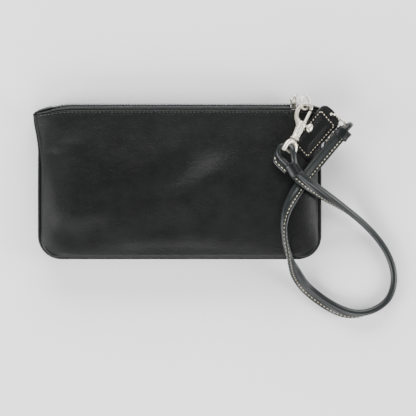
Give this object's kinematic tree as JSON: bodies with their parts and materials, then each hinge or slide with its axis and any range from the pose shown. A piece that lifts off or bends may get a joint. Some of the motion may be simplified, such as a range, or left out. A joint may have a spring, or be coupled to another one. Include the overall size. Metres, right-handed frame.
{
  "type": "wristlet wallet",
  "caption": "Slim zip-top leather pouch with gusset and piping, a rolled wrist strap on a swivel clip and D-ring, and a stitched leather tag on a bead chain.",
  "frame": {"origin": "middle of the flat back face that the wallet lies on", "axes": "+X along the zip towards its closed end, +Y from the bottom seam towards the zip, +Z out of the front panel"},
  "size_m": [0.2566, 0.1584, 0.0368],
  "materials": {
    "pouch_leather": "smooth calf leather, soft sheen",
    "strap_leather": "glazed edge-rolled leather",
    "tag_leather": "smooth leather with contrast stitching",
    "lining_fabric": "woven twill lining",
    "zip_tape": "herringbone tape",
    "zip_teeth": "nylon coil",
    "nickel": "polished nickel plate"
  },
  "bodies": {
    "pouch": {"back_panel": "pouch_leather", "front_panel": "pouch_leather", "front_piping": "pouch_leather", "back_piping": "pouch_leather", "gusset_band": "pouch_leather", "lining": "lining_fabric", "slip_pocket": "lining_fabric", "slip_pocket_binding": "pouch_leather", "front_facing": "pouch_leather", "back_facing": "pouch_leather", "zip_end_left": "zip_tape", "zip_end_right": "zip_tape", "bottom_stop": "nickel", "top_stop": "nickel", "zip_tab_left": "pouch_leather", "zip_tab_right": "pouch_leather", "side_tab": "pouch_leather", "bead_chain": "nickel"},
    "zip_front_side": {"zip_tape_front": "zip_tape", "zip_teeth_front": "zip_teeth"},
    "zip_back_side": {"zip_tape_back": "zip_tape", "zip_teeth_back": "zip_teeth"},
    "zip_slider": {"slider": "nickel"},
    "zip_pull": {"pull_link": "nickel"},
    "side_ring": {"d_ring": "nickel"},
    "wrist_strap": {"strap": "strap_leather", "keeper_clip_end": "strap_leather", "keeper_ring_end": "strap_leather", "strap_loop_clip": "strap_leather", "strap_loop_ring": "strap_leather"},
    "clip_eye": {"swivel_eye": "nickel"},
    "clip": {"clip_body": "nickel"},
    "clip_bolt": {"clip_bolt": "nickel", "bolt_spring": "nickel"},
    "hook_ring": {"split_ring": "nickel"},
    "hang_tag": {"tag_back": "tag_leather", "tag_front": "tag_leather"}
  },
  "joints": [
    {"name": "mouth_front", "type": "hinge", "parent": "pouch", "child": "zip_front_side", "pos_m": [0, 0.0508, 0.0179], "axis": [1, 0, 0], "range_deg": [0, 75]},
    {"name": "mouth_back", "type": "hinge", "parent": "pouch", "child": "zip_back_side", "pos_m": [0, 0.0508, 0.0041], "axis": [1, 0, 0], "range_deg": [-75, 0]},
    {"name": "zip_travel", "type": "slide", "parent": "pouch", "child": "zip_slider", "axis": [-1, 0, 0], "range_m": [0, 0.1585]},
    {"name": "pull_turn", "type": "hinge", "parent": "zip_slider", "child": "zip_pull", "pos_m": [0.0791, 0.0591, 0.011], "axis": [1, 0, 0], "range_deg": [-170, 0]},
    {"name": "side_ring_turn", "type": "hinge", "parent": "pouch", "child": "side_ring", "pos_m": [0.1056, 0.0384, 0.011], "axis": [0, 1, 0], "range_deg": [-2, 2]},
    {"name": "strap_lift", "type": "hinge", "parent": "pouch", "child": "wrist_strap", "pos_m": [0.1145, 0.0384, 0.0177], "axis": [-0.8832, 0.4691, 0], "range_deg": [0, 40]},
    {"name": "eye_turn", "type": "hinge", "parent": "wrist_strap", "child": "clip_eye", "pos_m": [0.07498, 0.02065, 0.03159], "axis": [0.6797, -0.4807, -0.554], "range_deg": [0, 45]},
    {"name": "clip_swivel", "type": "hinge", "parent": "clip_eye", "child": "clip", "pos_m": [0.0789, 0.02905, 0.0291], "axis": [0.4082, 0.8754, -0.2588], "range_deg": [-15, 5]},
    {"name": "bolt_travel", "type": "slide", "parent": "clip", "child": "clip_bolt", "axis": [-0.4082, -0.8754, 0.2588], "range_m": [0, 0.004], "stiffness_N_per_m": 120, "springref_m": -0.004},
    {"name": "ring_turn", "type": "hinge", "parent": "clip", "child": "hook_ring", "pos_m": [0.0887, 0.0522, 0.02237], "axis": [0.9424, -0.3334, -0.0258], "range_deg": [-12, 12]},
    {"name": "tag_swing", "type": "hinge", "parent": "pouch", "child": "hang_tag", "pos_m": [0.105, 0.0469, 0.0193], "axis": [0.069, 0.0785, 0.9945], "range_deg": [-12, 0]}
  ],
  "couplings": [
    {"joint": "mouth_back", "follows": "mouth_front", "ratio": -1}
  ]
}
